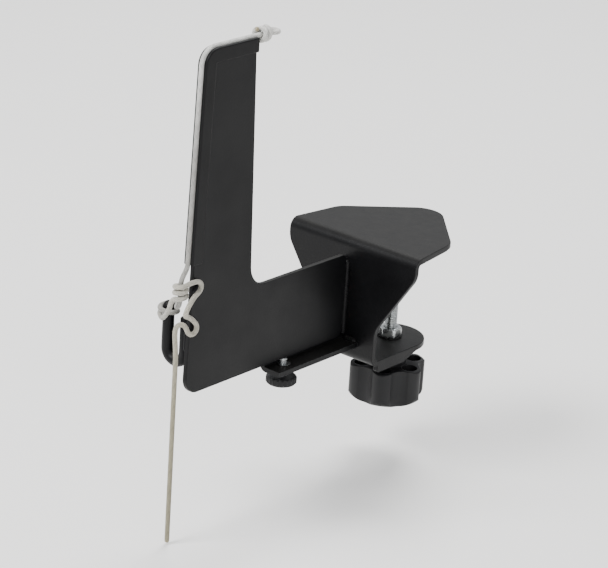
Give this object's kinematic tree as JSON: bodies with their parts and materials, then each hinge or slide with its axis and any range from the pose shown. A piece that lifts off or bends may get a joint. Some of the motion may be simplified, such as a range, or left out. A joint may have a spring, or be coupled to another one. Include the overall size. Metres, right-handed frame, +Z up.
{
  "type": "table tennis net clamp",
  "caption": "Screw clamp with a folded C frame that holds a flat net post beside a table, with a height screw, a cord guide round the post and a tied tension cord.",
  "frame": {"origin": "where the clamp screw's axis meets the table's top surface, which is the underside of the upper jaw's pad", "axes": "+Z up, +Y inboard over the table, -Y outboard towards the post, X along the table's side edge; the post's plate lies in the plane X = 0"},
  "size_m": [0.1, 0.2395, 0.306],
  "materials": {
    "frame_steel": "satin black powder coat",
    "post_steel": "smooth satin black powder coat",
    "liner_nylon": "natural nylon sheet",
    "pad_rubber": "matt black rubber",
    "zinc_steel": "bright zinc plating",
    "spring_steel": "phosphated spring steel",
    "guide_nylon": "black moulded nylon",
    "knob_plastic": "black moulded nylon with a fine grain",
    "insert_brass": "turned brass",
    "cord_polyester": "off-white braided polyester"
  },
  "bodies": {
    "clamp": {"clamp_frame": "frame_steel", "carrier_plate": "frame_steel", "slide_liner": "liner_nylon", "upper_pad": "pad_rubber", "edge_pad": "pad_rubber", "jaw_nut": "zinc_steel", "height_bush": "zinc_steel"},
    "post": {"post_plate": "post_steel", "cord_guide": "guide_nylon", "cord_hook": "frame_steel", "guide_studs": "zinc_steel", "stud_washers": "zinc_steel", "stud_locknuts": "zinc_steel", "tension_cord": "cord_polyester"},
    "height_adjuster": {"height_screw": "zinc_steel", "height_wheel": "knob_plastic"},
    "foot": {"pressure_cup": "zinc_steel", "pressure_pad": "pad_rubber"},
    "screw": {"clamp_spindle": "zinc_steel", "spindle_clip": "spring_steel", "clamp_knob": "knob_plastic", "knob_insert": "insert_brass", "knob_cap": "guide_nylon"}
  },
  "joints": [
    {"name": "post_height", "type": "slide", "parent": "clamp", "child": "post", "axis": [0, 0, 1], "range_m": [-0.003, 0.003]},
    {"name": "height_screw_turn", "type": "hinge", "parent": "post", "child": "height_adjuster", "pos_m": [0, -0.105, -0.071], "axis": [0, 0, 1], "range_deg": [-1080, 1080]},
    {"name": "pressure_travel", "type": "slide", "parent": "clamp", "child": "foot", "axis": [0, 0, 1], "range_m": [-0.03, 0.005]},
    {"name": "knob_turn", "type": "hinge", "parent": "foot", "child": "screw", "pos_m": [0, 0, -0.07], "axis": [0, 0, 1], "range_deg": [-8640, 1440]}
  ],
  "couplings": [
    {"joint": "height_screw_turn", "follows": "post_height", "rad_per_m": 6283.2},
    {"joint": "knob_turn", "follows": "pressure_travel", "rad_per_m": 5026.5}
  ]
}
